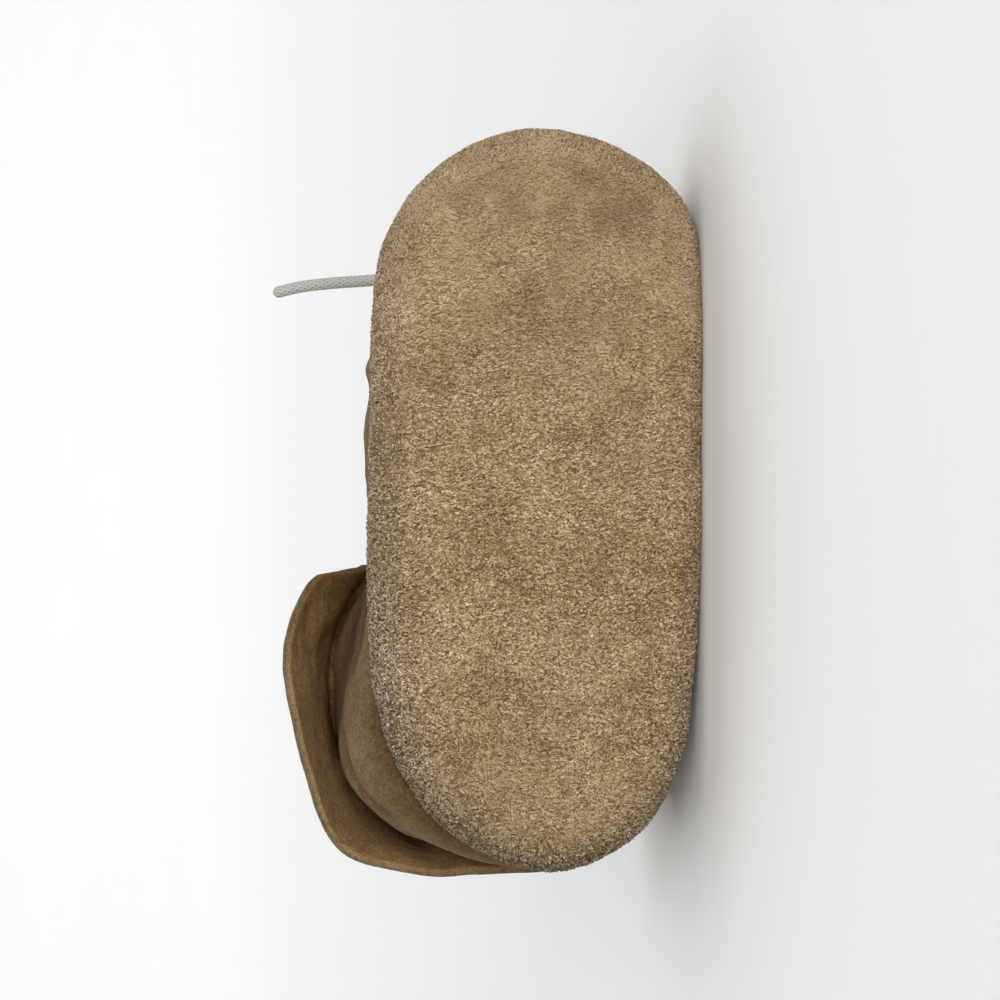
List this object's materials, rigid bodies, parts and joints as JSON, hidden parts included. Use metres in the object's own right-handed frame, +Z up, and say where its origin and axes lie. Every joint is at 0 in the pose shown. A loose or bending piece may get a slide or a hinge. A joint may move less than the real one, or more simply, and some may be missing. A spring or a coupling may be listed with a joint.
{
  "type": "baby moccasin",
  "caption": "Soft suede baby bootie moccasin for the right foot, with a fold-over ankle cuff and a cord lace, lying on its inner side.",
  "frame": {"origin": "on the floor under the middle of the shoe's box, as it lies on its inner side", "axes": "+X from heel to toe, -Y the way the sole faces, +Y the way the ankle opening faces, +Z up, out of the shoe's outer side"},
  "size_m": [0.1196, 0.0576, 0.0648],
  "materials": {
    "sole_suede": "rough napped split suede, tan, short curled fibres",
    "upper_suede": "fine short-napped suede, brown tan",
    "insole_leather": "smooth unlined leather, light tan",
    "lace_cotton": "round braided cotton cord, off-white"
  },
  "bodies": {
    "root": {"sole": "sole_suede", "insole": "insole_leather", "upper": "upper_suede", "apron": "upper_suede", "tongue": "upper_suede", "cuff": "upper_suede", "lace_bar": "lace_cotton", "lace_cross": "lace_cotton", "lace_end": "lace_cotton"}
  },
  "joints": []
}
